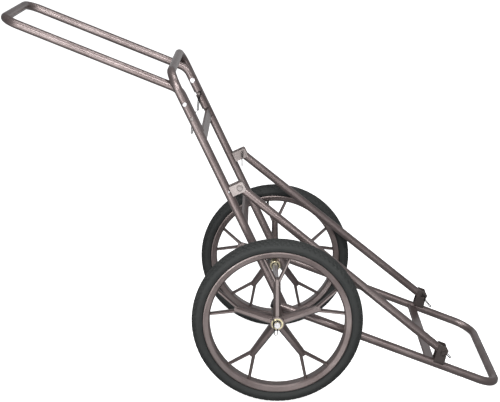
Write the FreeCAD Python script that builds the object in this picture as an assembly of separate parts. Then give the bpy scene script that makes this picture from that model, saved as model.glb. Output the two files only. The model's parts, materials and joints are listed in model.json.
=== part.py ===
import FreeCAD
import Part
import math
import os

# Folding two-wheel game cart. A U-shaped bed frame lies from the axle down to
# the floor, a U-shaped upright turns on the same axle, two braces hold the
# upright up, and a bent U-shaped handle turns on the upright's legs.
# Millimetres. X runs from the handle to the foot, Y across, Z up.
# Heights are above the floor. X is measured from the axle, and the whole cart
# is then moved so that the origin is under the middle of its box.

# ---------------------------------------------------------------- dimensions
TUBE_RADIUS = 12.7           # one-inch round tube throughout
BED_WALL = 2.2
UPRIGHT_WALL = 1.5
HANDLE_WALL = 1.2
BRACE_WALL = 1.2

RAIL_Y = 239.0               # bed rails are the outermost tubes
LEG_Y = 213.0                # upright legs run just inside the rails
HANDLE_Y = 187.0             # handle tubes run just inside the legs

AXLE_RADIUS = 9.5
AXLE_Z = 250.0               # 20-inch wheel
AXLE_HALF_LENGTH = 344.0
RUNNING = 0.06               # radial clearance of a turning fit
LOOSE = 0.10                 # radial clearance of a pin in a drilled hole

RAIL_Z_AT_AXLE = 276.2       # rail centre line above the axle
FOOT_X = 664.0
FOOT_Z = TUBE_RADIUS         # the foot bar lies on the floor
FOOT_BEND = 62.0
RAIL_TAIL = 14.0             # rail length behind the axle, without the cap
BED_BAR_ALONG = 494.0        # bed bar centre, measured along the rail
BED_BAR_WIDTH = 30.0
FLAT_TUBE_THICK = 8.5
FLAT_TUBE_WALL = 1.5

LEG_LEAN = math.radians(24.56)   # lean of the upright from the vertical
LEG_OFFSET = 22.9            # leg centre line in front of the axle centre
LEG_BELOW = 19.0             # leg length past its nearest point to the axle
LEG_TOP = 773.5              # top bar centre, measured along the leg
UPRIGHT_BEND = 50.0
LOWER_BAR_ALONG = 276.5
UPPER_BAR_ALONG = 561.0
UPRIGHT_BAR_WIDTH = 31.0

HANDLE_PIVOT_ALONG = 677.8
LOCK_PIN_BELOW = 46.2
HANDLE_END_BELOW = 98.0
HANDLE_KNEE_ABOVE = 41.0
HANDLE_KNEE_BEND = 52.0
HANDLE_SLOPE = math.radians(22.4)
HANDLE_REACH = 535.0         # knee to end bar, along the slope
HANDLE_BEND = 46.0

BRACE_TOP_ALONG = 390.5      # upper brace pin, along the leg
BRACE_TOP_OUT = 38.0         # upper brace pin, in front of the leg centre
BRACE_FOOT_ALONG = 515.0     # lower brace pin, along the rail
BRACE_FOOT_OUT = 43.9        # lower brace pin, above the rail centre
BRACE_END_PAST = 13.0
BRACKET_PLATE = 3.0
BRACKET_GAP = 28.0           # inside width of each brace bracket
BRACKET_SINK = 3.0           # how far a bracket's base reaches round its tube
UPPER_BRACKET_LENGTH = 30.0

BRACE_PIN_RADIUS = 4.75
BRACE_PIN_HEAD_RADIUS = 8.8
BRACE_PIN_HEAD = 3.5
LOCK_PIN_RADIUS = 4.0
LOCK_PIN_HEAD_RADIUS = 6.5
LOCK_PIN_HEAD = 3.5
PIVOT_BOLT_RADIUS = 4.0
PIN_TIP = 8.0                # how far a pin stands out of what it holds
CLIP_FROM_GRIP = 4.0         # where its clip goes through it
CLIP_HOLE_PLAY = 0.15        # radial clearance of a clip in its hole
CLIP_WIRE = 1.4              # radius of the wire of the hairpin clips
CLIP_LOOP = 2.0              # radius of the bend at their far ends
CLIP_HOOK = 9.0              # how far their straight leg passes the pin
LOWER_CLIP_TAIL = 42.0
UPPER_CLIP_TAIL = 38.0
LOCK_CLIP_TAIL = 54.0
AXLE_CLIP_WIRE = 1.25
AXLE_CLIP_LOOP = 4.3
AXLE_CLIP_HOOK = 14.0
AXLE_CLIP_TAIL = 32.0
AXLE_CLIP_FROM_HUB = 5.5

SLEEVE_RADIUS = 17.0
SLEEVE_BORE = 12.3
LEG_SLEEVE_IN = 194.0        # inner end of the leg sleeves
RAIL_SLEEVE_OUT = 277.6      # outer end of the rail sleeves, against the hub

WHEEL_Y = 304.6
HUB_HALF_WIDTH = 26.0
HUB_RADIUS = 21.5
RIM_INNER = 197.0
RIM_OUTER = 216.0
RIM_HALF_WIDTH = 20.0
TYRE_RADIUS = 250.0
TYRE_HALF_WIDTH = 28.0
ARM_COUNT = 5
ARM_SPLIT = 131.0            # radius where an arm divides into two spokes
ARM_ROOT_WIDTH = 24.5
ARM_SPLIT_WIDTH = 19.5
SPOKE_SPREAD = math.radians(11.6)
SPOKE_WIDTH = 8.5

# ------------------------------------------------------------- directions
AXLE = FreeCAD.Vector(0, 0, AXLE_Z)
ACROSS = FreeCAD.Vector(0, 1, 0)
RAIL_DROP = math.atan2(RAIL_Z_AT_AXLE - FOOT_Z, FOOT_X)
RAIL_ALONG = FreeCAD.Vector(math.cos(RAIL_DROP), 0, -math.sin(RAIL_DROP))
RAIL_UP = FreeCAD.Vector(math.sin(RAIL_DROP), 0, math.cos(RAIL_DROP))
RAIL_START = FreeCAD.Vector(0, 0, RAIL_Z_AT_AXLE)
LEG_UP = FreeCAD.Vector(-math.sin(LEG_LEAN), 0, math.cos(LEG_LEAN))
LEG_FRONT = FreeCAD.Vector(math.cos(LEG_LEAN), 0, math.sin(LEG_LEAN))
LEG_FOOT = AXLE + LEG_FRONT * LEG_OFFSET
HANDLE_OUT = FreeCAD.Vector(-math.cos(HANDLE_SLOPE), 0, math.sin(HANDLE_SLOPE))

# The two sides of the cart, as seen by a person at the handle.
SIDES = (-1, 1)


def rail_point(along, up=0.0, y=0.0):
    """A point given along and above the centre line of the bed rails."""
    return RAIL_START + RAIL_ALONG * along + RAIL_UP * up + ACROSS * y


def leg_point(along, front=0.0, y=0.0):
    """A point given along and in front of the centre line of the legs."""
    return LEG_FOOT + LEG_UP * along + LEG_FRONT * front + ACROSS * y


def rod(start, end, radius):
    """A round bar from one point to another."""
    run = end - start
    return Part.makeCylinder(radius, run.Length, start, run)


def ring(start, end, radius, bore):
    """A round bar with a hole through it."""
    run = (end - start).normalize()
    return rod(start, end, radius).cut(rod(start - run, end + run, bore))


def cross_rod(point, y_from, y_to, radius):
    """A round bar that runs across the cart at the X and Z of a point."""
    start = FreeCAD.Vector(point.x, min(y_from, y_to), point.z)
    end = FreeCAD.Vector(point.x, max(y_from, y_to), point.z)
    return rod(start, end, radius)


def bent_path(points, bends):
    """A wire through the points, with a tangent arc at each corner."""
    edges = []
    last = points[0]
    for before, corner, after, bend in zip(points, points[1:], points[2:],
                                           bends):
        back = (before - corner).normalize()
        ahead = (after - corner).normalize()
        half = back.getAngle(ahead) / 2
        tangent = bend / math.tan(half)
        middle = (back + ahead).normalize()
        centre = corner + middle * (bend / math.sin(half))
        start = corner + back * tangent
        end = corner + ahead * tangent
        if (start - last).Length > 1e-6:
            edges.append(Part.LineSegment(last, start).toShape())
        edges.append(Part.Arc(start, centre - middle * bend, end).toShape())
        last = end
    edges.append(Part.LineSegment(last, points[-1]).toShape())
    return Part.Wire(edges)


def swept(points, bend, radius):
    """A round bar swept along a bent path."""
    path = bent_path(points, [bend] * (len(points) - 2))
    start_run = (points[1] - points[0]).normalize()
    profile = Part.Wire(Part.makeCircle(radius, points[0], start_run))
    return path.makePipeShell([profile], True, True)


def bent_tube(points, bend, radius, wall):
    """A hollow tube swept along a bent path."""
    return swept(points, bend, radius).cut(swept(points, bend, radius - wall))


def straight_tube(start, end, radius, wall):
    """A hollow straight tube."""
    return ring(start, end, radius, radius - wall)


def prism(corners, y_from, y_to):
    """A plate whose outline lies in XZ and whose thickness runs across."""
    flat = [FreeCAD.Vector(p.x, y_from, p.z) for p in corners]
    outline = Part.makePolygon(flat + [flat[0]])
    return Part.Face(outline).extrude(FreeCAD.Vector(0, y_to - y_from, 0))


def box_between(point, along, up, length, height, y_from, y_to):
    """A bar across the cart with a rectangular section around a point."""
    half_along = along * (length / 2)
    half_up = up * (height / 2)
    corners = [point - half_along - half_up,
               point + half_along - half_up,
               point + half_along + half_up,
               point - half_along + half_up]
    return prism(corners, y_from, y_to)


def turned(outline, centre_y):
    """A solid of revolution about the axle line from (radius, y) points."""
    flat = [FreeCAD.Vector(r, centre_y + y, AXLE_Z) for r, y in outline]
    face = Part.Face(Part.makePolygon(flat + [flat[0]]))
    return face.revolve(AXLE, ACROSS, 360)


def group(solids):
    """Separate equal pieces kept together in one node."""
    return Part.makeCompound(solids)


# --------------------------------------------------------------- bed frame
def bed_frame_tube():
    """One tube bent to a U: two rails and the foot bar on the floor."""
    corner_along = FOOT_X / math.cos(RAIL_DROP)
    points = [rail_point(-RAIL_TAIL, 0, -RAIL_Y),
              rail_point(corner_along, 0, -RAIL_Y),
              rail_point(corner_along, 0, RAIL_Y),
              rail_point(-RAIL_TAIL, 0, RAIL_Y)]
    tube = bent_tube(points, FOOT_BEND, TUBE_RADIUS, BED_WALL)
    for side in SIDES:
        inner = side * (LEG_Y + TUBE_RADIUS)
        outer = side * RAIL_SLEEVE_OUT
        tube = tube.cut(cross_rod(AXLE, inner, outer, SLEEVE_RADIUS))
    return tube


def rail_axle_sleeves():
    """Thick sleeves welded under the rails: they hold the axle."""
    solids = []
    for side in SIDES:
        inner = side * (LEG_Y + TUBE_RADIUS + 0.5)
        outer = side * RAIL_SLEEVE_OUT
        sleeve = cross_rod(AXLE, inner, outer, SLEEVE_RADIUS)
        bore = cross_rod(AXLE, side * 200, side * 300, AXLE_RADIUS)
        solids.append(sleeve.cut(bore))
    return group(solids)


def rail_end_caps():
    """Black caps over the upper ends of the rails."""
    cap_radius = TUBE_RADIUS + 1.1
    reach = 18.0
    end_wall = 3.0
    solids = []
    for side in SIDES:
        y = side * RAIL_Y
        mouth = rail_point(-RAIL_TAIL + reach - end_wall, 0, y)
        end = rail_point(-RAIL_TAIL - end_wall, 0, y)
        cap = rod(end, mouth, cap_radius)
        rim = cap.Edges[0]
        for edge in cap.Edges:
            if edge.isClosed() and (edge.CenterOfMass - end).Length < 1.0:
                rim = edge
        cap = cap.makeFillet(2.0, [rim])
        cap = cap.cut(rod(rail_point(-RAIL_TAIL, 0, y),
                          rail_point(RAIL_TAIL + 40, 0, y), TUBE_RADIUS))
        inner = side * (LEG_Y + TUBE_RADIUS)
        outer = side * RAIL_SLEEVE_OUT
        cap = cap.cut(cross_rod(AXLE, inner, outer, SLEEVE_RADIUS))
        solids.append(cap)
    return group(solids)


def flat_cross_bar(point, along, up, width, half_span, tube_points, bend):
    """A flat tube across the cart, coped to the round tubes at its ends."""
    outer = box_between(point, along, up, width, FLAT_TUBE_THICK,
                        -half_span, half_span)
    long_edges = [edge for edge in outer.Edges
                  if edge.Length > 2 * half_span - 1.0]
    outer = outer.makeFillet(2.2, long_edges)
    inner = box_between(point, along, up, width - 2 * FLAT_TUBE_WALL,
                        FLAT_TUBE_THICK - 2 * FLAT_TUBE_WALL,
                        -half_span - 1, half_span + 1)
    bar = outer.cut(inner)
    return bar.cut(swept(tube_points, bend, TUBE_RADIUS))


def bed_cross_bar():
    corner_along = FOOT_X / math.cos(RAIL_DROP)
    frame = [rail_point(-RAIL_TAIL, 0, -RAIL_Y),
             rail_point(corner_along, 0, -RAIL_Y),
             rail_point(corner_along, 0, RAIL_Y),
             rail_point(-RAIL_TAIL, 0, RAIL_Y)]
    return flat_cross_bar(rail_point(BED_BAR_ALONG), RAIL_ALONG, RAIL_UP,
                          BED_BAR_WIDTH, RAIL_Y - 6.0, frame, FOOT_BEND)


def axle_rod():
    """The rod that carries both wheels, drilled near its ends for clips."""
    shaft = cross_rod(AXLE, -AXLE_HALF_LENGTH, AXLE_HALF_LENGTH, AXLE_RADIUS)
    shaft = shaft.makeChamfer(1.2, [e for e in shaft.Edges if e.isClosed()])
    for side in SIDES:
        y = side * axle_clip_y()
        down = FreeCAD.Vector(0, y, AXLE_Z - 12)
        top = FreeCAD.Vector(0, y, AXLE_Z + 12)
        shaft = shaft.cut(rod(down, top, AXLE_CLIP_WIRE + CLIP_HOLE_PLAY))
    return shaft


def axle_clip_y():
    return WHEEL_Y + HUB_HALF_WIDTH + AXLE_CLIP_FROM_HUB


def hairpin(centre, leg_run, side_run, reach, tail, hook, loop=CLIP_LOOP,
            wire=CLIP_WIRE):
    """A hairpin clip bent from wire in one plane.

    Its straight leg goes through the pin, its other leg arches past the pin
    at the given reach, and both meet in a round loop at the far end.
    """
    clear = reach + wire + 0.5
    neck = max(clear - 3.5, wire * 2 + 0.4)
    points = [centre - leg_run * hook,
              centre + leg_run * tail,
              centre + leg_run * tail + side_run * (2 * loop),
              centre + leg_run * (tail - 2 * loop - 3) + side_run * (2 * loop),
              centre + leg_run * (reach + 7.0) + side_run * neck,
              centre + side_run * (clear + 2.0),
              centre - leg_run * (reach + 1.5) + side_run * (clear - 1.5),
              centre - leg_run * (hook + 3.0) + side_run * (clear + 3.0)]
    bends = [loop, loop - 0.05, 4.0, 2.4, 4.0, 2.4]
    path = bent_path(points, bends)
    profile = Part.Wire(Part.makeCircle(wire, points[0], leg_run))
    return path.makePipeShell([profile], True, True)


def axle_clips():
    """Hairpin clips that keep the wheels on the axle."""
    down = FreeCAD.Vector(0, 0, -1)
    backward = FreeCAD.Vector(-1, 0, 0)
    solids = []
    for side in SIDES:
        centre = FreeCAD.Vector(0, side * axle_clip_y(), AXLE_Z)
        solids.append(hairpin(centre, down, backward, AXLE_RADIUS,
                              AXLE_CLIP_TAIL, AXLE_CLIP_HOOK,
                              AXLE_CLIP_LOOP, AXLE_CLIP_WIRE))
    return group(solids)


def lower_brace_brackets():
    """Channels welded on the rails that take the feet of the braces."""
    foot = BRACE_FOOT_ALONG
    top = BRACE_FOOT_OUT + 20.1
    solids = []
    for side in SIDES:
        centre_y = side * RAIL_Y
        half = BRACKET_GAP / 2 + BRACKET_PLATE
        side_view = [rail_point(foot - 16, TUBE_RADIUS - BRACKET_SINK),
                     rail_point(foot + 17, TUBE_RADIUS - BRACKET_SINK),
                     rail_point(foot + 9, top - 6),
                     rail_point(foot + 3, top),
                     rail_point(foot - 18, top),
                     rail_point(foot - 22, top - 4)]
        block = prism(side_view, centre_y - half, centre_y + half)
        gap = [rail_point(foot - 35, TUBE_RADIUS + BRACKET_PLATE),
               rail_point(foot + 45, TUBE_RADIUS + BRACKET_PLATE),
               rail_point(foot + 45, top + 26),
               rail_point(foot - 35, top + 26)]
        block = block.cut(prism(gap, centre_y - BRACKET_GAP / 2,
                                centre_y + BRACKET_GAP / 2))
        rail = rod(rail_point(foot - 115, 0, centre_y),
                   rail_point(foot + 105, 0, centre_y), TUBE_RADIUS)
        block = block.cut(rail)
        pin = rail_point(foot, BRACE_FOOT_OUT)
        block = block.cut(cross_rod(pin, centre_y - 40, centre_y + 40,
                                    BRACE_PIN_RADIUS + LOOSE))
        solids.append(block)
    return group(solids)


def clevis_pin(point, side, centre_y, radius, head_radius, head, half_grip):
    """A pin with a flat head outside and a drilled end inside the cart."""
    outside = centre_y + side * half_grip
    inside = centre_y - side * (half_grip + PIN_TIP)
    shank = cross_rod(point, inside, outside, radius)
    cap = cross_rod(point, outside, outside + side * head, head_radius)
    rims = [e for e in cap.Edges if e.isClosed()]
    cap = cap.makeChamfer(0.8, rims)
    groove = ring(FreeCAD.Vector(point.x, outside + side * 1.2, point.z),
                  FreeCAD.Vector(point.x, outside + side * (head + 1), point.z),
                  head_radius - 1.0, head_radius - 2.8)
    return shank.fuse(cap).removeSplitter().cut(groove)


def pin_clip_y(side, centre_y, half_grip):
    return centre_y - side * (half_grip + CLIP_FROM_GRIP)


def drilled(pin, point, y, run):
    """A cross hole for a clip through a pin."""
    middle = FreeCAD.Vector(point.x, y, point.z)
    return pin.cut(rod(middle - run * 12, middle + run * 12,
                       CLIP_WIRE + CLIP_HOLE_PLAY))


BRACE_GRIP = BRACKET_GAP / 2 + BRACKET_PLATE + 0.4
LOWER_CLIP_RUN = FreeCAD.Vector(0.62, 0, -0.785).normalize()
UPPER_CLIP_RUN = FreeCAD.Vector(0, 0, -1)
LOCK_CLIP_RUN = FreeCAD.Vector(-0.12, 0, -1).normalize()


def lower_brace_pins():
    point = rail_point(BRACE_FOOT_ALONG, BRACE_FOOT_OUT)
    solids = []
    for side in SIDES:
        y = side * RAIL_Y
        pin = clevis_pin(point, side, y, BRACE_PIN_RADIUS,
                         BRACE_PIN_HEAD_RADIUS, BRACE_PIN_HEAD, BRACE_GRIP)
        solids.append(drilled(pin, point, pin_clip_y(side, y, BRACE_GRIP),
                              LOWER_CLIP_RUN))
    return group(solids)


def lower_brace_clips():
    point = rail_point(BRACE_FOOT_ALONG, BRACE_FOOT_OUT)
    side_run = FreeCAD.Vector(-LOWER_CLIP_RUN.z, 0, LOWER_CLIP_RUN.x)
    solids = []
    for side in SIDES:
        y = pin_clip_y(side, side * RAIL_Y, BRACE_GRIP)
        centre = FreeCAD.Vector(point.x, y, point.z)
        solids.append(hairpin(centre, LOWER_CLIP_RUN, side_run,
                              BRACE_PIN_RADIUS, LOWER_CLIP_TAIL, CLIP_HOOK))
    return group(solids)


# ----------------------------------------------------------------- upright
def upright_points():
    top = LEG_TOP
    return [leg_point(-LEG_BELOW, 0, -LEG_Y),
            leg_point(top, 0, -LEG_Y),
            leg_point(top, 0, LEG_Y),
            leg_point(-LEG_BELOW, 0, LEG_Y)]


def upright_tube():
    """One tube bent to a U: two legs and the top bar."""
    tube = bent_tube(upright_points(), UPRIGHT_BEND, TUBE_RADIUS,
                     UPRIGHT_WALL)
    for side in SIDES:
        tube = tube.cut(cross_rod(AXLE, side * 180, side * 240,
                                  SLEEVE_RADIUS))
    for along, radius in ((HANDLE_PIVOT_ALONG, PIVOT_BOLT_RADIUS),
                          (HANDLE_PIVOT_ALONG - LOCK_PIN_BELOW,
                           LOCK_PIN_RADIUS)):
        tube = tube.cut(cross_rod(leg_point(along), -260, 260,
                                  radius + LOOSE))
    return tube


def leg_sleeves():
    """Zinc-plated sleeves welded to the legs, which turn about the axle."""
    solids = []
    for side in SIDES:
        sleeve = cross_rod(AXLE, side * LEG_SLEEVE_IN,
                           side * (LEG_Y + TUBE_RADIUS), SLEEVE_RADIUS)
        bore = cross_rod(AXLE, side * 180, side * 240, SLEEVE_BORE)
        solids.append(sleeve.cut(bore))
    return group(solids)


def leg_bushings():
    """Plastic bushings inside the leg sleeves."""
    solids = []
    for side in SIDES:
        bush = cross_rod(AXLE, side * (LEG_SLEEVE_IN + 2.5),
                         side * (LEG_Y + TUBE_RADIUS), SLEEVE_BORE)
        bore = cross_rod(AXLE, side * 180, side * 240, AXLE_RADIUS + RUNNING)
        solids.append(bush.cut(bore))
    return group(solids)


def upright_cross_bar(along):
    return flat_cross_bar(leg_point(along), LEG_UP, LEG_FRONT,
                          UPRIGHT_BAR_WIDTH, LEG_Y - 6.0,
                          upright_points(), UPRIGHT_BEND)


def upper_brace_brackets():
    """Channels welded on the fronts of the legs for the upper brace pins."""
    low = BRACE_TOP_ALONG - UPPER_BRACKET_LENGTH / 2
    high = BRACE_TOP_ALONG + UPPER_BRACKET_LENGTH / 2
    top = BRACE_TOP_OUT + 15.0
    solids = []
    for side in SIDES:
        centre_y = side * LEG_Y
        half = BRACKET_GAP / 2 + BRACKET_PLATE
        side_view = [leg_point(low, TUBE_RADIUS - BRACKET_SINK),
                     leg_point(low, top - 4),
                     leg_point(low + 4, top),
                     leg_point(high - 4, top),
                     leg_point(high, top - 4),
                     leg_point(high, TUBE_RADIUS - BRACKET_SINK)]
        block = prism(side_view, centre_y - half, centre_y + half)
        gap = [leg_point(low - 5, TUBE_RADIUS + BRACKET_PLATE),
               leg_point(low - 5, top + 27),
               leg_point(high + 5, top + 27),
               leg_point(high + 5, TUBE_RADIUS + BRACKET_PLATE)]
        block = block.cut(prism(gap, centre_y - BRACKET_GAP / 2,
                                centre_y + BRACKET_GAP / 2))
        block = block.cut(rod(leg_point(low - 20, 0, centre_y),
                              leg_point(high + 20, 0, centre_y),
                              TUBE_RADIUS))
        pin = leg_point(BRACE_TOP_ALONG, BRACE_TOP_OUT)
        block = block.cut(cross_rod(pin, centre_y - 40, centre_y + 40,
                                    BRACE_PIN_RADIUS + LOOSE))
        solids.append(block)
    return group(solids)


def bracket_rivets():
    """A dome-headed rivet on each leg beside its brace bracket."""
    solids = []
    for side in SIDES:
        centre = leg_point(BRACE_TOP_ALONG + 1, 0, side * LEG_Y)
        outward = (LEG_FRONT * 0.38 + ACROSS * (side * 0.925)).normalize()
        seat = centre + outward * (TUBE_RADIUS - 0.4)
        head = rod(seat, seat + outward * 2.6, 3.6)
        top = [e for e in head.Edges if e.isClosed()
               and (e.CenterOfMass - seat).Length > 1.5]
        head = head.makeFillet(1.8, top)
        leg = rod(leg_point(BRACE_TOP_ALONG - 90, 0, side * LEG_Y),
                  leg_point(BRACE_TOP_ALONG + 90, 0, side * LEG_Y),
                  TUBE_RADIUS)
        solids.append(head.cut(leg))
    return group(solids)


def upper_brace_pins():
    point = leg_point(BRACE_TOP_ALONG, BRACE_TOP_OUT)
    solids = []
    for side in SIDES:
        y = side * LEG_Y
        pin = clevis_pin(point, side, y, BRACE_PIN_RADIUS,
                         BRACE_PIN_HEAD_RADIUS, BRACE_PIN_HEAD, BRACE_GRIP)
        solids.append(drilled(pin, point, pin_clip_y(side, y, BRACE_GRIP),
                              UPPER_CLIP_RUN))
    return group(solids)


def upper_brace_clips():
    point = leg_point(BRACE_TOP_ALONG, BRACE_TOP_OUT)
    solids = []
    for side in SIDES:
        y = pin_clip_y(side, side * LEG_Y, BRACE_GRIP)
        centre = FreeCAD.Vector(point.x, y, point.z)
        inward = FreeCAD.Vector(0, -side, 0)
        solids.append(hairpin(centre, UPPER_CLIP_RUN, inward,
                              BRACE_PIN_RADIUS, UPPER_CLIP_TAIL, CLIP_HOOK))
    return group(solids)


LEG_OUTSIDE = LEG_Y + TUBE_RADIUS
HANDLE_INSIDE = HANDLE_Y - TUBE_RADIUS


def handle_pivot_bolts():
    """Round-headed bolts through the legs and the handle tubes."""
    point = leg_point(HANDLE_PIVOT_ALONG)
    solids = []
    for side in SIDES:
        seat = side * (LEG_OUTSIDE - 0.4)
        end = side * (HANDLE_INSIDE - 10.0)
        bolt = cross_rod(point, end, seat, PIVOT_BOLT_RADIUS)
        head = cross_rod(point, seat, seat + side * 5.0, 6.8)
        top = [e for e in head.Edges if e.isClosed()
               and abs(e.CenterOfMass.y) > LEG_OUTSIDE + 2]
        head = head.makeFillet(2.6, top)
        leg = rod(leg_point(HANDLE_PIVOT_ALONG - 70, 0, side * LEG_Y),
                  leg_point(HANDLE_PIVOT_ALONG + 60, 0, side * LEG_Y),
                  TUBE_RADIUS)
        solids.append(bolt.fuse(head.cut(leg)).removeSplitter())
    return group(solids)


def handle_pivot_nuts():
    """Flange nuts on the inner ends of the pivot bolts."""
    point = leg_point(HANDLE_PIVOT_ALONG)
    solids = []
    for side in SIDES:
        seat = side * (HANDLE_INSIDE - 0.3)
        flange = cross_rod(point, seat - side * 1.6, seat, 8.0)
        hexagon = []
        for corner in range(6):
            turn = math.radians(60 * corner + 20)
            reach = 6.5 / math.cos(math.radians(30))
            hexagon.append(FreeCAD.Vector(point.x + reach * math.cos(turn), 0,
                                          point.z + reach * math.sin(turn)))
        body = prism(hexagon, seat - side * 7.5, seat - side * 1.6)
        nut = flange.fuse(body)
        nut = nut.cut(cross_rod(point, side * 150, side * 180,
                                PIVOT_BOLT_RADIUS))
        solids.append(nut.removeSplitter())
    return group(solids)


LOCK_GRIP_MIDDLE = (LEG_OUTSIDE + HANDLE_INSIDE) / 2
LOCK_GRIP = (LEG_OUTSIDE - HANDLE_INSIDE) / 2 + 0.4


def handle_lock_pins():
    """Pins that lock the handle to the legs when it is opened out."""
    point = leg_point(HANDLE_PIVOT_ALONG - LOCK_PIN_BELOW)
    solids = []
    for side in SIDES:
        y = side * LOCK_GRIP_MIDDLE
        pin = clevis_pin(point, side, y, LOCK_PIN_RADIUS,
                         LOCK_PIN_HEAD_RADIUS, LOCK_PIN_HEAD, LOCK_GRIP)
        solids.append(drilled(pin, point, pin_clip_y(side, y, LOCK_GRIP),
                              LOCK_CLIP_RUN))
    return group(solids)


def handle_lock_clips():
    point = leg_point(HANDLE_PIVOT_ALONG - LOCK_PIN_BELOW)
    side_run = FreeCAD.Vector(-LOCK_CLIP_RUN.z, 0, LOCK_CLIP_RUN.x)
    solids = []
    for side in SIDES:
        y = pin_clip_y(side, side * LOCK_GRIP_MIDDLE, LOCK_GRIP)
        centre = FreeCAD.Vector(point.x, y, point.z)
        solids.append(hairpin(centre, LOCK_CLIP_RUN, side_run,
                              LOCK_PIN_RADIUS, LOCK_CLIP_TAIL, CLIP_HOOK))
    return group(solids)


# ------------------------------------------------------------------ handle
def handle_tube():
    """One tube bent to a U with a knee on each side.

    Its lower ends run inside the legs. A notch behind the lock pin lets the
    tube leave the pin when the handle turns about its pivot bolts.
    """
    low = HANDLE_PIVOT_ALONG - HANDLE_END_BELOW
    knee = HANDLE_PIVOT_ALONG + HANDLE_KNEE_ABOVE
    end = leg_point(knee) + HANDLE_OUT * HANDLE_REACH
    near_end = end + ACROSS * -HANDLE_Y
    far_end = end + ACROSS * HANDLE_Y
    middle_near = end + ACROSS * -(HANDLE_Y - HANDLE_BEND - 40)
    middle_far = end + ACROSS * (HANDLE_Y - HANDLE_BEND - 40)
    parts = []
    for radius in (TUBE_RADIUS, TUBE_RADIUS - HANDLE_WALL):
        near = swept_knee(-HANDLE_Y, low, knee, near_end, middle_near, radius)
        far = swept_knee(HANDLE_Y, low, knee, far_end, middle_far, radius)
        bar = rod(middle_near, middle_far, radius)
        parts.append(near.fuse([far, bar]).removeSplitter())
    tube = parts[0].cut(parts[1])
    pivot = leg_point(HANDLE_PIVOT_ALONG)
    lock = leg_point(HANDLE_PIVOT_ALONG - LOCK_PIN_BELOW)
    tube = tube.cut(cross_rod(pivot, -260, 260, PIVOT_BOLT_RADIUS + RUNNING))
    slot = LOCK_PIN_RADIUS + LOOSE
    tube = tube.cut(cross_rod(lock, -260, 260, slot))
    low_slot = HANDLE_PIVOT_ALONG - LOCK_PIN_BELOW
    notch = [leg_point(low_slot - slot, 0),
             leg_point(low_slot + slot, 0),
             leg_point(low_slot + slot + 5.0, -20),
             leg_point(low_slot - slot, -20)]
    return tube.cut(prism(notch, -260, 260))


def swept_knee(y, low, knee, corner, middle, radius):
    """One side of the handle: leg part, knee, slope and half of the end."""
    leg_end = leg_point(low, 0, y)
    knee_point = leg_point(knee, 0, y)
    slope_mid = (knee_point + corner) * 0.5
    lower = swept([leg_end, knee_point, slope_mid], HANDLE_KNEE_BEND, radius)
    upper = swept([slope_mid, corner, middle], HANDLE_BEND, radius)
    return lower.fuse(upper)


# ------------------------------------------------------------------ braces
def brace(side):
    """A straight tube from the upright bracket down to the bed bracket.

    A notch under the lower hole lets the brace lift off the lower pin.
    """
    top = leg_point(BRACE_TOP_ALONG, BRACE_TOP_OUT, side * LEG_Y)
    foot = rail_point(BRACE_FOOT_ALONG, BRACE_FOOT_OUT, side * RAIL_Y)
    run = (foot - top).normalize()
    tube = straight_tube(top - run * BRACE_END_PAST,
                         foot + run * BRACE_END_PAST, TUBE_RADIUS, BRACE_WALL)
    tube = tube.cut(cross_rod(top, -300, 300, BRACE_PIN_RADIUS + RUNNING))
    slot = BRACE_PIN_RADIUS + LOOSE
    tube = tube.cut(cross_rod(foot, -300, 300, slot))
    flat_run = FreeCAD.Vector(run.x, 0, run.z).normalize()
    under = FreeCAD.Vector(flat_run.z, 0, -flat_run.x)
    out = (under * 0.92 - flat_run * 0.39).normalize()
    wide = FreeCAD.Vector(-out.z, 0, out.x)
    foot_flat = FreeCAD.Vector(foot.x, 0, foot.z)
    notch = [foot_flat + wide * slot,
             foot_flat - wide * slot,
             foot_flat - wide * (slot + 1.5) + out * 24,
             foot_flat + wide * (slot + 1.5) + out * 24]
    return tube.cut(prism(notch, -300, 300))


# ------------------------------------------------------------------ wheels
def arm_section(centre, out, across, width, depth):
    """The eight-sided outline of a wheel arm at one radius.

    Each face has a flat ridge in the middle and falls away on both sides.
    """
    edge = depth * 0.22
    ridge = width * 0.20
    half = width / 2
    outline = [(-half, -edge), (-half, edge), (-ridge, depth / 2),
               (ridge, depth / 2), (half, edge), (half, -edge),
               (ridge, -depth / 2), (-ridge, -depth / 2)]
    corners = [centre + across * u + ACROSS * v for u, v in outline]
    return Part.makePolygon(corners + [corners[0]])


def radial_bar(start, end, start_size, end_size):
    """A tapered ridged bar between two points in the wheel's plane."""
    out = (end - start).normalize()
    across = out.cross(ACROSS).normalize()
    first = arm_section(start, out, across, start_size[0], start_size[1])
    last = arm_section(end, out, across, end_size[0], end_size[1])
    return Part.makeLoft([first, last], True, True)


def wheel_point(radius, angle, y):
    return FreeCAD.Vector(radius * math.cos(angle), y,
                          AXLE_Z + radius * math.sin(angle))


def wheel_rim(side):
    """The wheel's rim, with a flange each side for the tyre."""
    return turned([(RIM_INNER, -15), (RIM_INNER, 15),
                   (RIM_INNER + 4, RIM_HALF_WIDTH - 1),
                   (RIM_OUTER - 3, RIM_HALF_WIDTH + 2),
                   (RIM_OUTER, RIM_HALF_WIDTH + 1),
                   (RIM_OUTER, RIM_HALF_WIDTH - 3),
                   (RIM_OUTER - 9, RIM_HALF_WIDTH - 5),
                   (RIM_OUTER - 12, 8), (RIM_OUTER - 12, -8),
                   (RIM_OUTER - 9, -RIM_HALF_WIDTH + 5),
                   (RIM_OUTER, -RIM_HALF_WIDTH + 3),
                   (RIM_OUTER, -RIM_HALF_WIDTH - 1),
                   (RIM_OUTER - 3, -RIM_HALF_WIDTH - 2),
                   (RIM_INNER + 4, -RIM_HALF_WIDTH + 1)],
                  side * WHEEL_Y)


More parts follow.
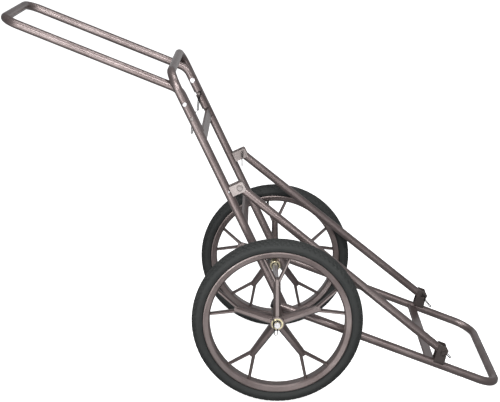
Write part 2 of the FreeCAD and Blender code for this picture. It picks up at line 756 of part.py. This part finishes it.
def wheel_hub(side):
    y = side * WHEEL_Y
    hub = cross_rod(AXLE, y - HUB_HALF_WIDTH, y + HUB_HALF_WIDTH, HUB_RADIUS)
    hub = hub.makeFillet(2.0, [e for e in hub.Edges if e.isClosed()])
    return hub.cut(cross_rod(AXLE, y - 40, y + 40, SLEEVE_RADIUS))


def wheel_arms(side):
    """Five arms, each forked into two spokes that meet the rim."""
    y = side * WHEEL_Y
    hub = cross_rod(AXLE, y - 40, y + 40, HUB_RADIUS)
    within = cross_rod(AXLE, y - 40, y + 40, RIM_INNER)
    arms = []
    for number in range(ARM_COUNT):
        angle = math.radians(90 + 360 / ARM_COUNT * number)
        across = FreeCAD.Vector(math.sin(angle), 0, -math.cos(angle))
        root = wheel_point(HUB_RADIUS - 8, angle, y)
        split = wheel_point(ARM_SPLIT, angle, y)
        arm = radial_bar(root, split, (ARM_ROOT_WIDTH, 44.0),
                         (ARM_SPLIT_WIDTH, 24.0))
        for sign in SIDES:
            near = wheel_point(ARM_SPLIT - 8, angle, y) - across * (sign * 5.0)
            far = wheel_point(RIM_INNER + 8, angle + sign * SPOKE_SPREAD, y)
            arm = arm.fuse(radial_bar(near, far, (SPOKE_WIDTH + 1.5, 19.0),
                                      (SPOKE_WIDTH, 17.0)))
        arms.append(arm.removeSplitter().cut(hub).common(within))
    return group(arms)


def tyre(side):
    """A hollow bicycle-type tyre whose open foot sits on the rim."""
    outline = [(RIM_OUTER - 8.0, RIM_HALF_WIDTH - 5.2),
               (RIM_OUTER + 0.5, RIM_HALF_WIDTH - 3.4),
               (RIM_OUTER + 2.0, RIM_HALF_WIDTH + 2.5),
               (RIM_OUTER + 8.0, TYRE_HALF_WIDTH - 2.0),
               (RIM_OUTER + 14.0, TYRE_HALF_WIDTH),
               (RIM_OUTER + 20.0, TYRE_HALF_WIDTH - 1.0),
               (RIM_OUTER + 27.0, TYRE_HALF_WIDTH - 6.5),
               (RIM_OUTER + 31.5, TYRE_HALF_WIDTH - 14.0),
               (TYRE_RADIUS, TYRE_HALF_WIDTH - 22.0)]
    inside = [(RIM_OUTER - 8.0, 12.0), (RIM_OUTER + 2.0, 13.5),
              (RIM_OUTER + 8.0, 20.0), (RIM_OUTER + 13.0, 22.0),
              (RIM_OUTER + 19.0, 20.0), (RIM_OUTER + 25.0, 13.0),
              (RIM_OUTER + 28.0, 5.0)]
    section = outline + [(r, -w) for r, w in reversed(outline)]
    section += [(r, -w) for r, w in inside]
    section += list(reversed(inside))
    return turned(section, side * WHEEL_Y)


def hub_sleeve(side):
    """The zinc-plated steel sleeve in the hub."""
    y = side * WHEEL_Y
    half = HUB_HALF_WIDTH + 0.6
    sleeve = cross_rod(AXLE, y - half, y + half, SLEEVE_RADIUS)
    return sleeve.cut(cross_rod(AXLE, y - 40, y + 40, SLEEVE_BORE))


def hub_bushing(side):
    """The dark plastic bushing that turns on the axle."""
    y = side * WHEEL_Y
    half = HUB_HALF_WIDTH - 1.8
    bush = cross_rod(AXLE, y - half, y + half, SLEEVE_BORE)
    return bush.cut(cross_rod(AXLE, y - 40, y + 40, AXLE_RADIUS + RUNNING))


def valve_stem(side):
    """A short tyre valve that stands out of the rim towards the hub."""
    angle = math.radians(97.0)
    y = side * WHEEL_Y
    foot = wheel_point(RIM_INNER - 0.1, angle, y)
    neck = wheel_point(RIM_INNER - 9.0, angle, y)
    tip = wheel_point(RIM_INNER - 17.0, angle, y)
    return rod(foot, neck, 4.2).fuse(rod(neck, tip, 2.9)).removeSplitter()


# ------------------------------------------------------------------ export
def nodes():
    parts = {
        "bed_frame_tube": bed_frame_tube(),
        "bed_cross_bar": bed_cross_bar(),
        "rail_axle_sleeves": rail_axle_sleeves(),
        "rail_end_caps": rail_end_caps(),
        "axle_rod": axle_rod(),
        "axle_clips": axle_clips(),
        "lower_brace_brackets": lower_brace_brackets(),
        "lower_brace_pins": lower_brace_pins(),
        "lower_brace_clips": lower_brace_clips(),
        "upright_tube": upright_tube(),
        "upright_lower_bar": upright_cross_bar(LOWER_BAR_ALONG),
        "upright_upper_bar": upright_cross_bar(UPPER_BAR_ALONG),
        "leg_sleeves": leg_sleeves(),
        "leg_bushings": leg_bushings(),
        "upper_brace_brackets": upper_brace_brackets(),
        "bracket_rivets": bracket_rivets(),
        "upper_brace_pins": upper_brace_pins(),
        "upper_brace_clips": upper_brace_clips(),
        "handle_pivot_bolts": handle_pivot_bolts(),
        "handle_pivot_nuts": handle_pivot_nuts(),
        "handle_lock_pins": handle_lock_pins(),
        "handle_lock_clips": handle_lock_clips(),
        "handle_tube": handle_tube(),
    }
    for side, name in ((-1, "right"), (1, "left")):
        parts[name + "_brace"] = brace(side)
        parts[name + "_wheel_rim"] = wheel_rim(side)
        parts[name + "_wheel_hub"] = wheel_hub(side)
        parts[name + "_wheel_arms"] = wheel_arms(side)
        parts[name + "_tyre"] = tyre(side)
        parts[name + "_hub_sleeve"] = hub_sleeve(side)
        parts[name + "_hub_bushing"] = hub_bushing(side)
        parts[name + "_valve_stem"] = valve_stem(side)
    return parts


def box_middle_x(parts):
    """The X of the middle of the whole cart's box."""
    low = min(shape.optimalBoundingBox().XMin for shape in parts.values())
    high = max(shape.optimalBoundingBox().XMax for shape in parts.values())
    return (low + high) / 2


def main():
    os.makedirs("parts", exist_ok=True)
    parts = nodes()
    shift = FreeCAD.Vector(-box_middle_x(parts), 0, 0)
    for name, shape in parts.items():
        shape.translate(shift)
        shape.exportStep("parts/" + name + ".step")
        print(name, "solids", len(shape.Solids), "valid", shape.isValid(),
              "volume", round(shape.Volume))
    print("shift", round(shift.x, 3))


main()
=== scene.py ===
import json
import math

import bpy
from mathutils import Euler, Matrix, Vector


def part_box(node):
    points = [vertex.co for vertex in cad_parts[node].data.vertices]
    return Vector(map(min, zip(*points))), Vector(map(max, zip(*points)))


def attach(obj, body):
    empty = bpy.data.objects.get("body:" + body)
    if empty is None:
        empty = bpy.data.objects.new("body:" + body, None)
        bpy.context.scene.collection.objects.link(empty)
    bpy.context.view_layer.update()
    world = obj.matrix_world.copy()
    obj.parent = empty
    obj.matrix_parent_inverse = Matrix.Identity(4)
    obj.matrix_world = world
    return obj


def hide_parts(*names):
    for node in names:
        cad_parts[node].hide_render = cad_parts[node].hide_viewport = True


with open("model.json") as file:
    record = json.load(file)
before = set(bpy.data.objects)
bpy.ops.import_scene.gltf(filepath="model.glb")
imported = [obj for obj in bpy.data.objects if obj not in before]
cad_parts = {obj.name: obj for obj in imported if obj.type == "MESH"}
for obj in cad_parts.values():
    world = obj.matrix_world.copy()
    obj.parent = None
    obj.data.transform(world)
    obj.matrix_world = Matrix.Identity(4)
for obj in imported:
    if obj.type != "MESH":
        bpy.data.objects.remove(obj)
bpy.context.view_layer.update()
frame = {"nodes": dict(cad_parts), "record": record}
nodes = frame["nodes"]

# Lengths are in metres, in the cart's own frame: X from the handle to the
# foot, Y across, Z up, with the floor at zero. "right" is the -Y side.

# ------------------------------------------------------------ frame geometry
TUBE_RADIUS = 0.0127
RAIL_Y = 0.239
LEG_Y = 0.213
SLEEVE_RADIUS = 0.017
FLAT_TUBE_THICK = 0.0085
SIDES = (("right", -1), ("left", 1))
RAIL_ABOVE_AXLE = 0.0262
RAIL_DROP = math.atan2(0.2762 - TUBE_RADIUS, 0.664)
RAIL_OFFSET = RAIL_ABOVE_AXLE * math.cos(RAIL_DROP)
LEG_LEAN = math.radians(24.56)
LEG_OFFSET = 0.0229
BED_BAR_ALONG = 0.494
BED_BAR_WIDTH = 0.030
LEG_BARS_ALONG = (0.2765, 0.561)
LEG_BAR_WIDTH = 0.031
# Where the brackets' ends are, along the rail and along the leg.
LOWER_BRACKET = (0.500, 0.531)
UPPER_BRACKET = (0.3765, 0.4045)

rod_low, rod_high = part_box("axle_rod")
AXLE = Vector(((rod_low.x + rod_high.x) / 2, 0, (rod_low.z + rod_high.z) / 2))
RAIL_ALONG = Vector((math.cos(RAIL_DROP), 0, -math.sin(RAIL_DROP)))
RAIL_UP = Vector((math.sin(RAIL_DROP), 0, math.cos(RAIL_DROP)))
LEG_UP = Vector((-math.sin(LEG_LEAN), 0, math.cos(LEG_LEAN)))
LEG_FRONT = Vector((math.cos(LEG_LEAN), 0, math.sin(LEG_LEAN)))


# ---------------------------------------------------------------- materials
class Surface:
    """A node material built step by step around one Principled shader."""

    def __init__(self, name, metallic, roughness):
        self.material = bpy.data.materials.new(name)
        self.material.use_nodes = True
        self.tree = self.material.node_tree
        self.shader = self.tree.nodes["Principled BSDF"]
        self.shader.inputs["Metallic"].default_value = metallic
        self.shader.inputs["Roughness"].default_value = roughness
        self.place = self.tree.nodes.new("ShaderNodeTexCoord").outputs["Object"]
        self.normal = None

    def link(self, source, target):
        self.tree.links.new(source, target)

    def stretched(self, stretch):
        mapping = self.tree.nodes.new("ShaderNodeMapping")
        mapping.inputs["Scale"].default_value = stretch
        self.link(self.place, mapping.inputs["Vector"])
        return mapping.outputs["Vector"]

    def noise(self, scale, detail=4.0, stretch=None, roughness=0.5):
        node = self.tree.nodes.new("ShaderNodeTexNoise")
        node.inputs["Scale"].default_value = scale
        node.inputs["Detail"].default_value = detail
        node.inputs["Roughness"].default_value = roughness
        place = self.stretched(stretch) if stretch else self.place
        self.link(place, node.inputs["Vector"])
        return node.outputs["Fac"]

    def cells(self, scale):
        node = self.tree.nodes.new("ShaderNodeTexVoronoi")
        node.inputs["Scale"].default_value = scale
        self.link(self.place, node.inputs["Vector"])
        return node.outputs["Distance"]

    def ramp(self, factor, stops):
        node = self.tree.nodes.new("ShaderNodeValToRGB")
        elements = node.color_ramp.elements
        while len(elements) < len(stops):
            elements.new(0.5)
        for element, (position, colour) in zip(elements, stops):
            element.position = position
            element.color = (*colour, 1)
        self.link(factor, node.inputs["Fac"])
        return node.outputs["Color"]

    def mix(self, factor, first, second, kind="MIX"):
        node = self.tree.nodes.new("ShaderNodeMix")
        node.data_type = "RGBA"
        node.blend_type = kind
        colour_inputs = [s for s in node.inputs if s.type == "RGBA"]
        for socket, colour in zip(colour_inputs, (first, second)):
            self.link(colour, socket)
        node.inputs[0].default_value = factor
        return [s for s in node.outputs if s.type == "RGBA"][0]

    def to_range(self, factor, low, high):
        """Spreads the usual values of a noise over a range."""
        node = self.tree.nodes.new("ShaderNodeMapRange")
        node.inputs["From Min"].default_value = 0.3
        node.inputs["From Max"].default_value = 0.7
        node.inputs["To Min"].default_value = low
        node.inputs["To Max"].default_value = high
        self.link(factor, node.inputs["Value"])
        return node.outputs["Result"]

    def bump(self, height, distance, strength):
        node = self.tree.nodes.new("ShaderNodeBump")
        node.inputs["Strength"].default_value = strength
        node.inputs["Distance"].default_value = distance
        self.link(height, node.inputs["Height"])
        if self.normal:
            self.link(self.normal, node.inputs["Normal"])
        self.normal = node.outputs["Normal"]

    def finish(self, colour, roughness=None):
        self.link(colour, self.shader.inputs["Base Color"])
        if roughness:
            self.link(roughness, self.shader.inputs["Roughness"])
        if self.normal:
            self.link(self.normal, self.shader.inputs["Normal"])
        return self.material


def coated_metal(name, dark, body, light, gloss):
    """Bronze powder coat: tone drift, metallic flecks and orange peel."""
    surface = Surface(name, 0.80, gloss)
    surface.shader.inputs["Coat Weight"].default_value = 0.40
    surface.shader.inputs["Coat Roughness"].default_value = 0.20
    drift = surface.noise(9.0, 3.0)
    colour = surface.ramp(drift, [(0.32, dark), (0.52, body), (0.74, light)])
    fleck = surface.ramp(surface.cells(2600.0),
                         [(0.10, light), (0.34, body)])
    colour = surface.mix(0.16, colour, fleck)
    grime = surface.ramp(surface.noise(55.0, 6.0),
                         [(0.44, (0.82, 0.80, 0.78)), (0.60, (1, 1, 1))])
    colour = surface.mix(0.24, colour, grime, "MULTIPLY")
    surface.bump(surface.noise(950.0, 2.0), 0.00008, 0.02)
    surface.bump(surface.noise(210.0, 3.0), 0.0001, 0.05)
    roughness = surface.to_range(surface.noise(38.0, 5.0),
                                 gloss - 0.02, gloss + 0.04)
    return surface.finish(colour, roughness)


def plated_steel(name, dark, light, stretch, gloss):
    """Zinc plate or spring wire with fine drawing marks and stains."""
    surface = Surface(name, 1.0, gloss)
    surface.shader.inputs["Anisotropic"].default_value = 0.25
    stain = surface.noise(120.0, 6.0)
    colour = surface.ramp(stain, [(0.30, dark), (0.68, light)])
    marks = surface.noise(900.0, 2.0, stretch)
    colour = surface.mix(0.18, colour, surface.ramp(
        marks, [(0.35, dark), (0.65, light)]))
    surface.bump(marks, 0.00006, 0.4)
    roughness = surface.to_range(surface.noise(260.0, 4.0),
                                 gloss - 0.06, gloss + 0.14)
    return surface.finish(colour, roughness)


def rubber(name, body, dust, gloss, grain):
    """Rubber with a fine moulded grain and a little pale dust."""
    surface = Surface(name, 0.0, gloss)
    surface.shader.inputs["Specular IOR Level"].default_value = 0.42
    patches = surface.noise(42.0, 8.0, roughness=0.62)
    colour = surface.ramp(patches, [(0.40, body), (0.82, dust)])
    surface.bump(surface.noise(grain, 3.0), 0.00012, 0.5)
    surface.bump(surface.cells(grain * 0.6), 0.00006, 0.3)
    roughness = surface.to_range(patches, gloss - 0.08, gloss + 0.12)
    return surface.finish(colour, roughness)


def moulded_plastic(name, body, light):
    """Black moulded plastic with a spark-eroded grain."""
    surface = Surface(name, 0.0, 0.45)
    tone = surface.noise(160.0, 4.0)
    colour = surface.ramp(tone, [(0.35, body), (0.75, light)])
    surface.bump(surface.noise(2400.0, 2.0), 0.00006, 0.6)
    roughness = surface.to_range(tone, 0.38, 0.55)
    return surface.finish(colour, roughness)


FRAME_DARK = (0.165, 0.129, 0.125)
FRAME_BODY = (0.215, 0.173, 0.168)
FRAME_LIGHT = (0.265, 0.220, 0.214)
ACROSS_STRETCH = (1.0, 0.06, 1.0)

MATERIALS = {
    "powder_coat": coated_metal("powder_coat", FRAME_DARK, FRAME_BODY,
                                FRAME_LIGHT, 0.40),
    # Darker copy of the powder coat: painted shade for the lower brackets and
    # their pins.
    "powder_coat_painted_shade": coated_metal("powder_coat_painted_shade",
                                     (0.085, 0.070, 0.066),
                                     (0.130, 0.108, 0.102),
                                     (0.200, 0.168, 0.160), 0.38),
    # Lighter copy of the powder coat: painted highlight for the upper brackets'
    # faces that catch the front light.
    "powder_coat_painted_highlight": coated_metal("powder_coat_painted_highlight",
                                      (0.26, 0.225, 0.215),
                                      (0.33, 0.290, 0.280),
                                      (0.40, 0.360, 0.345), 0.40),
    "wheel_coat": coated_metal("wheel_coat", (0.130, 0.102, 0.098),
                               (0.200, 0.162, 0.156),
                               (0.280, 0.235, 0.226), 0.40),
    "powder_coat_pin": coated_metal("powder_coat_pin", (0.15, 0.13, 0.125),
                                    (0.25, 0.22, 0.21),
                                    (0.40, 0.37, 0.36), 0.32),
    "zinc_bright": plated_steel("zinc_bright", (0.56, 0.55, 0.56),
                                (0.78, 0.76, 0.78), ACROSS_STRETCH, 0.36),
    "zinc_yellow": plated_steel("zinc_yellow", (0.58, 0.50, 0.29),
                                (0.84, 0.78, 0.56), ACROSS_STRETCH, 0.38),
    "spring_steel": plated_steel("spring_steel", (0.016, 0.016, 0.017),
                                 (0.050, 0.050, 0.053), (1.0, 1.0, 0.08),
                                 0.30),
    "tyre_rubber": rubber("tyre_rubber", (0.018, 0.020, 0.0195),
                          (0.034, 0.036, 0.035), 0.70, 1500.0),
    "black_rubber": rubber("black_rubber", (0.016, 0.016, 0.016),
                           (0.035, 0.035, 0.035), 0.50, 2600.0),
    "black_plastic": moulded_plastic("black_plastic", (0.014, 0.014, 0.015),
                                     (0.034, 0.034, 0.035)),
}


# Painted light on the brackets: the lower brackets and their pins get a darker
# copy of the tubes' powder coat as painted shade, the upper brackets a lighter
# copy as painted highlight.
PAINTED_LIGHT_COATS = {"lower_brace_brackets": "powder_coat_painted_shade",
               "lower_brace_pins": "powder_coat_painted_shade",
               "upper_brace_brackets": "powder_coat_painted_highlight"}


def dress_cad_nodes():
    """Gives each CAD node the material of its slot in the record, but the
    brackets get the copies with painted shade and painted highlight.
    """
    for entry in frame["record"]["subparts"]:
        tone = PAINTED_LIGHT_COATS.get(entry["node"], entry["material_slot"])
        shape = nodes[entry["node"]]
        shape.data.materials.clear()
        shape.data.materials.append(MATERIALS[tone])


# ------------------------------------------------------------- mesh building
def new_piece(name, points, faces, slot, body):
    mesh = bpy.data.meshes.new(name)
    mesh.from_pydata(points, [], faces)
    mesh.validate()
    mesh.update()
    mesh.polygons.foreach_set("use_smooth", [True] * len(mesh.polygons))
    mesh.materials.append(MATERIALS[slot])
    piece = bpy.data.objects.new(name, mesh)
    bpy.context.scene.collection.objects.link(piece)
    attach(piece, body)
    return piece


def grid_faces(rows, columns, close_rows, close_columns, first=0):
    """Quads over a grid of points, which may close on itself either way."""
    faces = []
    for row in range(rows if close_rows else rows - 1):
        for column in range(columns if close_columns else columns - 1):
            next_row = (row + 1) % rows
            next_column = (column + 1) % columns
            faces.append((first + row * columns + column,
                          first + row * columns + next_column,
                          first + next_row * columns + next_column,
                          first + next_row * columns + column))
    return faces


# --------------------------------------------------------------------- tyres
TYRE_OUTSIDE = 0.2498
TYRE_HALF_WIDTH = 0.028
RIM_EDGE = 0.216
TREAD_PITCHES = 92           # tread blocks round the tyre, in each row
STEPS_PER_PITCH = 8
TREAD_DEPTH = 0.0024
TREAD_FROM = 0.2375          # radius above which the tyre has tread
CENTRE_RIB = 0.0022          # half the width of the rib round the middle
BLOCK_SLANT = 0.22           # in pitches, from one side of a block to the other
# Rows of blocks on each half: inner side, outer side, shift along the tyre and
# gap between blocks, both in pitches.
BLOCK_ROWS = ((0.0044, 0.0106, 0.0, 0.30), (0.0128, 0.0188, 0.5, 0.28),
              (0.0210, 0.0262, 0.0, 0.36))
SECTION_CENTRE = 0.2288      # radius at which the tyre is widest
SECTION_STEPS = 96
CROWN = 0.92                 # below 1 the tyre is squarer than an ellipse


def tyre_section():
    """Points (radius, y, tread) round a tyre, from bead to bead.

    Tread is 0 on the smooth walls and 1 where blocks stand.
    """
    height = TYRE_OUTSIDE - SECTION_CENTRE
    section = [(RIM_EDGE - 0.006, 0.0140, 0), (RIM_EDGE + 0.0004, 0.0158, 0),
               (RIM_EDGE + 0.0009, 0.0195, 0), (RIM_EDGE + 0.0024, 0.0228, 0),
               (RIM_EDGE + 0.0046, 0.0248, 0), (RIM_EDGE + 0.0062, 0.0253, 0),
               (RIM_EDGE + 0.0078, 0.0262, 0)]
    bead = len(section)
    for step in range(SECTION_STEPS + 1):
        turn = math.pi * step / SECTION_STEPS
        y = TYRE_HALF_WIDTH * math.cos(turn)
        radius = SECTION_CENTRE + height * math.sin(turn) ** CROWN
        section.append((radius, y, 1 if radius > TREAD_FROM else 0))
    other_bead = [(radius, -y, tread)
                  for radius, y, tread in reversed(section[:bead])]
    return section + other_bead


def tread_height(across, turn):
    """How far the tread stands at one place: 0 in a groove, 1 on a block."""
    pitch = turn / (2 * math.pi) * TREAD_PITCHES
    if abs(across) < CENTRE_RIB:
        return 1.0
    for low, high, offset, gap in BLOCK_ROWS:
        if low <= abs(across) <= high:
            slant = (abs(across) - low) / (high - low) * BLOCK_SLANT
            place = (pitch + offset + slant) % 1.0
            return 0.0 if place < gap else 1.0
    return 0.0


def build_tyre(side_name, side):
    low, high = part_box(side_name + "_tyre")
    centre = (low + high) / 2
    section = tyre_section()
    rounds = TREAD_PITCHES * STEPS_PER_PITCH
    points = []
    for step in range(rounds):
        turn = 2 * math.pi * step / rounds
        for radius, y, tread in section:
            if tread:
                radius -= TREAD_DEPTH * (1 - tread_height(y, turn))
            points.append((centre.x + radius * math.cos(turn), centre.y + y,
                           centre.z + radius * math.sin(turn)))
    faces = grid_faces(rounds, len(section), True, False)
    tyre = new_piece(side_name + "_tyre_tread", points, faces, "tyre_rubber",
                     side_name + "_wheel_body")
    tyre.data.set_sharp_from_angle(angle=math.radians(38))
    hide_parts(side_name + "_tyre")


# --------------------------------------------------------------------- welds
BEAD_RADIUS = 0.0021
RIPPLE = 0.0017              # spacing of the ripples along a weld
SEAM_CLEARANCE = 0.0002      # from a seam's middle line to the metal
BRACKET_SEAM_HEIGHT = 0.0100     # above the middle of the tube
BRACKET_SEAM_OUT = 0.0012    # from the tube's side to the seam


def resampled(route, spacing, closed):
    """Evenly spaced points along a polyline."""
    ends = route[1:] + ([route[0]] if closed else [])
    lengths = [(b - a).length for a, b in zip(route, ends)]
    total = sum(lengths)
    count = max(4, round(total / spacing))
    places = []
    travelled = 0.0
    index = 0
    for number in range(count if closed else count + 1):
        target = total * number / count
        while index < len(lengths) - 1 and travelled + lengths[index] < target:
            travelled += lengths[index]
            index += 1
        share = (target - travelled) / max(lengths[index], 1e-9)
        places.append(route[index].lerp(ends[index], min(share, 1.0)))
    return places


def weld_mesh(routes):
    """Rippled beads along several routes, as one list of points and faces."""
    points = []
    faces = []
    ring = 8
    for route, closed in routes:
        places = resampled(route, RIPPLE / 3, closed)
        first = len(points)
        count = len(places)
        for number, place in enumerate(places):
            after = places[(number + 1) % count] if closed else \
                places[min(number + 1, count - 1)]
            before = places[number - 1] if closed or number else places[0]
            run = (after - before).normalized()
            side = run.orthogonal().normalized()
            up = run.cross(side)
            swell = 0.90 + 0.14 * math.cos(2 * math.pi * number / 3)
            if not closed:
                swell *= min(1.0, 0.35 + min(number, count - 1 - number) * 0.3)
            for corner in range(ring):
                turn = 2 * math.pi * corner / ring
                offset = side * math.cos(turn) + up * math.sin(turn)
                points.append(place + offset * (BEAD_RADIUS * swell))
        faces += grid_faces(count, ring, closed, True, first)
        if not closed:
            faces.append(tuple(first + i for i in range(ring)))
            last = first + (count - 1) * ring
            faces.append(tuple(last + i for i in reversed(range(ring))))
    return points, faces


def sleeve_weld(along, normal, offset, y):
    """The closed seam between a frame tube and the sleeve on the axle."""
    reach = SLEEVE_RADIUS + SEAM_CLEARANCE
    limit = math.acos((reach - offset) / TUBE_RADIUS)
    steps = 24
    first = []
    second = []
    for step in range(steps + 1):
        turn = limit + (2 * math.pi - 2 * limit) * step / steps
        out = offset + TUBE_RADIUS * math.cos(turn)
        run = math.sqrt(max(reach * reach - out * out, 0.0))
        across = Vector((0, y + TUBE_RADIUS * math.sin(turn), 0))
        base = Vector((AXLE.x, 0, AXLE.z)) + normal * out + across
        first.append(base + along * run)
        second.append(base - along * run)
    return first + list(reversed(second))[1:-1]


def bar_end_weld(centre, along, normal, width, tube_y, side):
    """The closed seam round the end of a flat bar on a round tube."""
    corners = [(-width / 2, -FLAT_TUBE_THICK / 2),
               (width / 2, -FLAT_TUBE_THICK / 2),
               (width / 2, FLAT_TUBE_THICK / 2),
               (-width / 2, FLAT_TUBE_THICK / 2)]
    route = []
    for run, out in corners:
        inward = math.sqrt(TUBE_RADIUS ** 2 - out ** 2)
        y = side * (tube_y - inward - SEAM_CLEARANCE)
        route.append(centre + along * run + normal * out + Vector((0, y, 0)))
    return route


def bracket_welds(low, high, normal, tube_y, side):
    """Two straight seams where a bracket's edges meet the tube."""
    half = (math.sqrt(TUBE_RADIUS ** 2 - BRACKET_SEAM_HEIGHT ** 2)
            + BRACKET_SEAM_OUT)
    seams = []
    for across in (-half, half):
        shift = (normal * BRACKET_SEAM_HEIGHT
                 + Vector((0, side * tube_y + across, 0)))
        seams.append([low + shift, high + shift])
    return seams


def build_welds():
    rail_start = AXLE + Vector((0, 0, RAIL_ABOVE_AXLE))
    leg_start = AXLE + LEG_FRONT * LEG_OFFSET
    bed_routes = []
    upright_routes = []
    for _, side in SIDES:
        bed_routes.append((bar_end_weld(rail_start + RAIL_ALONG * BED_BAR_ALONG,
                                        RAIL_ALONG, RAIL_UP, BED_BAR_WIDTH,
                                        RAIL_Y, side), True))
        bed_routes.append((sleeve_weld(RAIL_ALONG, RAIL_UP, RAIL_OFFSET,
                                       side * RAIL_Y), True))
        upright_routes.append((sleeve_weld(LEG_UP, LEG_FRONT, LEG_OFFSET,
                                           side * LEG_Y), True))
        for station in LEG_BARS_ALONG:
            upright_routes.append((bar_end_weld(leg_start + LEG_UP * station,
                                                LEG_UP, LEG_FRONT,
                                                LEG_BAR_WIDTH, LEG_Y, side),
                                   True))
        low, high = (rail_start + RAIL_ALONG * end for end in LOWER_BRACKET)
        for seam in bracket_welds(low, high, RAIL_UP, RAIL_Y, side):
            bed_routes.append((seam, False))
        low, high = (leg_start + LEG_UP * end for end in UPPER_BRACKET)
        for seam in bracket_welds(low, high, LEG_FRONT, LEG_Y, side):
            upright_routes.append((seam, False))
    for name, routes, body in (("bed_weld_seams", bed_routes, "bed_frame"),
                               ("upright_weld_seams", upright_routes,
                                "upright")):
        points, faces = weld_mesh(routes)
        new_piece(name, points, faces, "powder_coat", body)


# ---------------------------------------------------------- camera and light
CAMERA_DISTANCE = 3.5773     # in front of the cart's middle plane
CAMERA_HEIGHT = 1.5281
CAMERA_BEFORE_AXLE = 0.0426
CAMERA_PITCH = 15.62         # degrees below the horizontal
CAMERA_YAW = 0.60
CAMERA_ROLL = -0.41
LENS_MM = 86.4
STUDIO_REACH = 40.0
FLOOR_GLOW = 0.95
SURROUND_GLOW = 1.0
BOUNCE_GLOW = 2.2


def build_camera():
    data = bpy.data.cameras.new("view")
    data.lens = LENS_MM
    data.sensor_width = 36.0
    camera = bpy.data.objects.new("view", data)
    place = Vector((AXLE.x - CAMERA_BEFORE_AXLE, -CAMERA_DISTANCE,
                    CAMERA_HEIGHT))
    turn = (Euler((0, 0, math.radians(CAMERA_YAW))).to_matrix()
            @ Euler((math.radians(90 - CAMERA_PITCH), 0, 0)).to_matrix()
            @ Euler((0, 0, math.radians(CAMERA_ROLL))).to_matrix())
    camera.matrix_world = Matrix.Translation(place) @ turn.to_4x4()
    bpy.context.scene.collection.objects.link(camera)
    bpy.context.scene.camera = camera


def soft_light(name, place, target, size, power):
    data = bpy.data.lights.new(name, "AREA")
    data.shape = "RECTANGLE"
    data.size, data.size_y = size
    data.energy = power
    lamp = bpy.data.objects.new(name, data)
    aim = (target - place).to_track_quat("-Z", "Y").to_matrix().to_4x4()
    lamp.matrix_world = Matrix.Translation(place) @ aim
    bpy.context.scene.collection.objects.link(lamp)


def glowing_board(name, points, faces, strength, shade):
    """A part of the studio that gives off soft light."""
    mesh = bpy.data.meshes.new(name)
    mesh.from_pydata(points, [], faces)
    surface = Surface(name, 0.0, 0.9)
    lighter = shade + 0.03
    tone = surface.ramp(surface.noise(1.2, 2.0),
                        [(0.3, (shade, shade, shade)),
                         (0.7, (lighter, lighter, lighter))])
    surface.shader.inputs["Emission Color"].default_value = (1, 1, 1, 1)
    surface.shader.inputs["Emission Strength"].default_value = strength
    mesh.materials.append(surface.finish(tone))
    board = bpy.data.objects.new(name, mesh)
    bpy.context.scene.collection.objects.link(board)
    return board


def rectangle(low, high, height):
    """The corners of a horizontal rectangle."""
    return [(low[0], low[1], height), (high[0], low[1], height),
            (high[0], high[1], height), (low[0], high[1], height)]


def build_studio():
    middle = Vector((0, 0, 0.45))
    soft_light("key", Vector((0.4, -3.2, 2.4)), middle, (3.0, 0.4), 105)
    soft_light("front", Vector((-1.2, -2.9, 0.5)), middle, (0.5, 1.3), 26)
    soft_light("top", Vector((0.3, -0.5, 3.2)), middle, (2.6, 0.5), 30)
    soft_light("back", Vector((0.2, 3.6, 0.9)), middle, (4.0, 1.6), 5)
    world = bpy.data.worlds.new("studio")
    world.use_nodes = True
    background = world.node_tree.nodes["Background"]
    background.inputs["Color"].default_value = (0.82, 0.83, 0.85, 1)
    background.inputs["Strength"].default_value = 0.32
    bpy.context.scene.world = world
    bpy.context.scene.view_settings.view_transform = "Standard"
    low = (-STUDIO_REACH, -STUDIO_REACH)
    high = (STUDIO_REACH, STUDIO_REACH)
    floor = glowing_board("floor", rectangle(low, high, 0.0), [(0, 1, 2, 3)],
                          FLOOR_GLOW, 0.9)
    walls = [(i, (i + 1) % 4, (i + 1) % 4 + 4, i + 4) for i in range(4)]
    surround = glowing_board("surround", rectangle(low, high, -0.01)
                             + rectangle(low, high, STUDIO_REACH), walls,
                             SURROUND_GLOW, 0.9)
    for piece in (floor, surround):
        piece.visible_glossy = False
        piece.visible_diffuse = False
    surround.visible_shadow = False
    bounce = glowing_board("bounce_board",
                           rectangle((-2.6, -3.2), (1.8, -0.9), -0.002),
                           [(0, 1, 2, 3)], BOUNCE_GLOW, 0.5)
    bounce.visible_camera = False
    bounce.visible_shadow = False


# ---------------------------------------------------------------------- main
dress_cad_nodes()
for side_name, side in SIDES:
    build_tyre(side_name, side)
build_welds()
build_camera()
build_studio()
